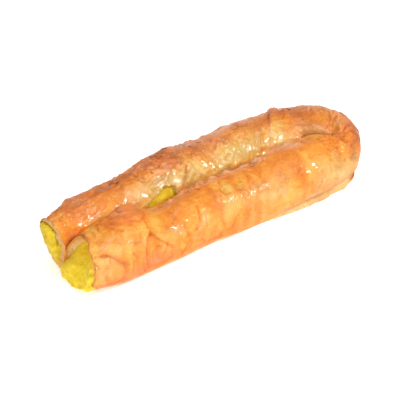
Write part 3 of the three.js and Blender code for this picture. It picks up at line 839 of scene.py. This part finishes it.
# adds a node and gives one of its outputs, or the node itself for None; words in lower case set the node's properties,
# the rest its sockets by name or number, and a socket given as a value is linked
def addNode(tree, kind, output=0, **words):
    node = tree.nodes.new("ShaderNode" + kind)
    for word, value in words.items():
        numbered = word[1:].isdigit()
        if word[0].islower() and not numbered:
            setattr(node, word, value)
            continue
        socket = node.inputs[int(word[1:]) if numbered else word.replace("_", " ")]
        if isinstance(value, bpy.types.NodeSocket):
            tree.links.new(value, socket)
        else:
            socket.default_value = value
    return node if output is None else node.outputs[output]


def newMaterial(name):
    material = bpy.data.materials.new(name)
    material.use_nodes = True
    material.node_tree.nodes.clear()
    return material, partial(addNode, material.node_tree)


def rampStops(output, stops):
    elements = output.node.color_ramp.elements
    while len(elements) > 1:
        elements.remove(elements[0])
    elements[0].position, elements[0].color = stops[0]
    for position, colour in stops[1:]:
        elements.new(position).color = colour
    return output


# baked filo brushed with oil: paper-thin dough crumpled into small flat facets, golden to brown, glossy where oily
def filoMaterial():
    material, add = newMaterial("baked oiled filo pastry")
    place = add("TexCoord", "Object")
    bake, pale, olive, red, rosy, oil, crease = [
        add("Attribute", "Fac", attribute_name=name) for name in toneNames]
    # crumpled facets of about 6 and 2.5 mm, longer along the rope: each has its own tilt, tone and gloss
    wander = add("TexNoise", "Color", Vector=place, Scale=180, Detail=2)
    drift = add("VectorMath", operation="MULTIPLY_ADD", n0=wander, n1=(0.004,) * 3, n2=place)
    spread = add("VectorMath", operation="MULTIPLY", n0=drift, n1=(0.6, 1.0, 1.0))
    level, gloss, height = bake, oil, 0.0
    for scale, toneShare, glossShare, tilt in ((165, 0.04, 0.2, 0.1), (400, 0.05, 0.35, 0.2)):
        cell = add("TexVoronoi", None, Vector=spread, Scale=scale)
        own = add("VectorMath", operation="SUBTRACT", n0=cell.outputs["Color"], n1=(0.5,) * 3)
        away = add("VectorMath", operation="SUBTRACT", n0=spread, n1=cell.outputs["Position"])
        slope = add("VectorMath", "Value", operation="DOT_PRODUCT", n0=own, n1=away)
        lot = add("SeparateColor", None, Color=cell.outputs["Color"])
        shift, shine = [add("Math", operation="SUBTRACT", n0=lot.outputs[k], n1=0.5) for k in (0, 1)]
        level, gloss, height = [
            add("Math", operation="MULTIPLY_ADD", n0=field, n1=share, n2=total) for field, share, total in
            ((shift, toneShare, level), (shine, glossShare, gloss), (slope, tilt, height))]
    # freckles of about 2 mm, fine crackle of about 1 mm, and wrinkles of about 3 mm as on wetted paper
    freckle = add("TexNoise", Vector=place, Scale=420, Detail=4, Roughness=0.6)
    crackle = add("TexNoise", Vector=place, Scale=900, Detail=3, Roughness=0.6)
    wrinkle = add("TexNoise", Vector=drift, Scale=330, Detail=2, Distortion=0.8)
    fold = add("Math", operation="SUBTRACT", n0=wrinkle, n1=0.5)
    fold = add("Math", operation="ABSOLUTE", n0=fold)
    # torn layers: bands a few millimetres wide that end in a thin edge
    layers = add("TexNoise", Vector=spread, Scale=75, Detail=3, Roughness=0.55)
    band = add("Math", operation="MULTIPLY", n0=layers, n1=11.0)
    band = add("Math", operation="FRACT", n0=band)
    # painted shade: a thin dark line down the creases and on the low side of sheet edges
    line = add("MapRange", interpolation_type="SMOOTHSTEP", Value=crease, n1=0.6, n2=0.95, n3=0.0, n4=0.6)
    for field, share in ((freckle, 0.08), (crackle, 0.1), (band, -0.06)):
        shift = add("Math", operation="SUBTRACT", n0=field, n1=0.5)
        level = add("Math", operation="MULTIPLY_ADD", n0=shift, n1=share, n2=level)
    for field, share in ((crackle, 0.0003), (fold, -0.0032), (band, 0.0003), (line, -0.0006)):
        height = add("Math", operation="MULTIPLY_ADD", n0=field, n1=share, n2=height)
    bump = add("Bump", Strength=0.55, Distance=1.0, Height=height)
    skim = add("Math", operation="MULTIPLY", n0=fold, n1=-0.0005)
    film = add("Bump", Strength=0.6, Distance=1.0, Height=skim)
    colour = rampStops(add("ValToRGB", Fac=level), [
        (0.05, linear("#d8bc78")), (0.28, linear("#e9bf6c")), (0.44, linear("#e8a745")), (0.58, linear("#e38624")),
        (0.74, linear("#c8681b")), (0.9, linear("#944612")), (1.0, linear("#4a2210"))])
    # reddish places, rosy painted sheen, olive and pale places over the browning (some pale ones painted highlights),
    # and painted shade lines down the creases
    for share, code in ((red, "#e88340"), (rosy, "#dfa585"), (olive, "#c7a85e"), (pale, "#f2d69a"), (line, "#c2601f")):
        colour = add("Mix", 2, data_type="RGBA", n0=share, n6=colour, n7=linear(code))
    rough = add("MapRange", Value=gloss, n1=0.0, n2=1.0, n3=0.5, n4=0.15)
    oiled = add("MapRange", Value=gloss, n1=0.15, n2=0.9, n3=0.0, n4=1.0)
    shader = add("BsdfPrincipled", Base_Color=colour, Roughness=rough, Normal=bump, IOR=1.46,
                 Subsurface_Weight=0.15, Subsurface_Radius=(1.0, 0.5, 0.2), Subsurface_Scale=0.0025,
                 Specular_IOR_Level=0.3, Coat_Weight=oiled, Coat_Roughness=0.08, Coat_IOR=1.47, Coat_Normal=film)
    add("OutputMaterial", None, Surface=shader)
    return material


# mashed potato: moist, yellow and a little grainy
def potatoMaterial():
    material, add = newMaterial("mashed potato")
    place = add("TexCoord", "Object")
    lumps = add("TexNoise", Vector=place, Scale=260, Detail=4, Roughness=0.6)
    colour = rampStops(add("ValToRGB", Fac=lumps), [
        (0.28, linear("#d2ab12")), (0.48, linear("#efcc1e")), (0.66, linear("#f8e044"))])
    stain, potatoShade = [add("Attribute", "Fac", attribute_name=name) for name in ("stain", "potatoShade")]
    # ground pepper: specks of under 1 mm in a few of the 6 mm cells
    cell = add("TexVoronoi", None, Vector=place, Scale=165)
    lot = add("SeparateColor", Color=cell.outputs["Color"])
    chosen = add("Math", operation="GREATER_THAN", n0=lot, n1=0.7)
    speck = add("MapRange", Value=cell.outputs["Distance"], n1=0.05, n2=0.1, n3=0.8, n4=0.0)
    speck = add("Math", operation="MULTIPLY", n0=speck, n1=chosen)
    # the orange stain, the potato's painted shade and the pepper specks over the yellow
    for share, code in ((stain, "#ffb41a"), (potatoShade, "#c2a21e"), (speck, "#5a4410")):
        colour = add("Mix", 2, data_type="RGBA", n0=share, n6=colour, n7=linear(code))
    grain = add("TexNoise", Vector=place, Scale=800, Detail=4, Roughness=0.65)
    bump = add("Bump", Strength=0.8, Distance=0.0012, Height=grain)
    shader = add("BsdfPrincipled", Base_Color=colour, Roughness=0.42, Normal=bump, IOR=1.4,
                 Subsurface_Weight=0.2, Subsurface_Radius=(1.0, 0.7, 0.15), Subsurface_Scale=0.003)
    add("OutputMaterial", None, Surface=shader)
    return material


def dress(piece, material, slot, *nodes):
    piece.data.materials.clear()
    piece.data.materials.append(material)
    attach(piece, "root")
    if nodes:
        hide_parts(*nodes)


filo, mash = filoMaterial(), potatoMaterial()
pastry = rollPastry()
print("pastry rolled", len(pastry.data.polygons))
cutTear(pastry)
print("tear cut", len(pastry.data.polygons))
filling = fillPotato()
print("potato filled", len(filling.data.polygons))
sheet = spreadSheet()
print("base sheet spread", len(sheet.data.polygons))
loose = layFlakes()
print("flakes laid", len(loose.data.polygons))
dress(sheet, filo, "pastry")
dress(loose, filo, "pastry")
dress(pastry, filo, "pastry", "pastry")
dress(filling, mash, "filling", "filling")

# floor, light and camera; each lamp has a place, a size and a power
studio = dict(floor=3.0, glow=0.45, world=0.35, aim=(0, 0, 0.015), lamps=dict(
    key=((0.52, -0.7, 0.8), 0.22, 8.1), top=((0.05, 0.35, 1.2), 0.9, 5.7), fill=((-0.9, -0.6, 0.5), 0.8, 6.6)))
bpy.ops.object.select_all(action="DESELECT")
bpy.ops.mesh.primitive_grid_add(x_subdivisions=8, y_subdivisions=8, size=studio["floor"] * 2)
floor = bpy.context.object
floor.name = "floor"
paper, add = newMaterial("backlit white acrylic")  # a light table, so almost no shadow
glowing = add("BsdfPrincipled", Base_Color=linear("#f4f4f4"), Roughness=0.9,
              Emission_Color=linear("#ffffff"), Emission_Strength=studio["glow"])
add("OutputMaterial", None, Surface=glowing)
floor.data.materials.append(paper)

world = bpy.data.worlds.new("studio")
scene = bpy.context.scene
scene.world = world
world.use_nodes = True
world.node_tree.nodes["Background"].inputs[0].default_value = (1, 1, 1, 1)
world.node_tree.nodes["Background"].inputs[1].default_value = studio["world"]
for name, (at, size, power) in studio["lamps"].items():
    light = bpy.data.lights.new(name, "AREA")
    light.shape, light.size, light.energy = "DISK", size, power
    lamp = bpy.data.objects.new(name, light)
    scene.collection.objects.link(lamp)
    lamp.location = at
    lamp.rotation_euler = (Vector(studio["aim"]) - Vector(at)).to_track_quat("-Z", "Y").to_euler()

# the view was measured on the picture: its pixels, turn, height angle, distance, pixels a mm and the middle's place
view = dict(pixels=400, turn=-37.277, height=32.323, distance=1300.0, scale=1.744, centre=(202.0, 195.72),
            target=(0, 0, 15), sensor=36)
a, e = math.radians(view["turn"]), math.radians(view["height"])
back = Vector((math.sin(a) * math.cos(e), -math.cos(a) * math.cos(e), math.sin(e)))
right = Vector((math.cos(a), math.sin(a), 0))
up = back.cross(right)
shiftX, shiftY = [(c - view["pixels"] / 2) / view["scale"] for c in view["centre"]]
eye = Vector(view["target"]) + view["distance"] * back - shiftX * right + shiftY * up
camera = bpy.data.cameras.new("camera")
camera.sensor_width = view["sensor"]
camera.lens = view["sensor"] * view["distance"] * view["scale"] / view["pixels"]
camera.clip_start, camera.clip_end = 0.05, 20
viewer = bpy.data.objects.new("camera", camera)
scene.collection.objects.link(viewer)
viewer.matrix_world = Matrix.Translation(eye * mm) @ Matrix((right, up, back)).transposed().to_4x4()
scene.camera = viewer
scene.view_settings.view_transform = "Standard"
scene.view_settings.look = "None"
print("studio set")

bpy.context.view_layer.update()
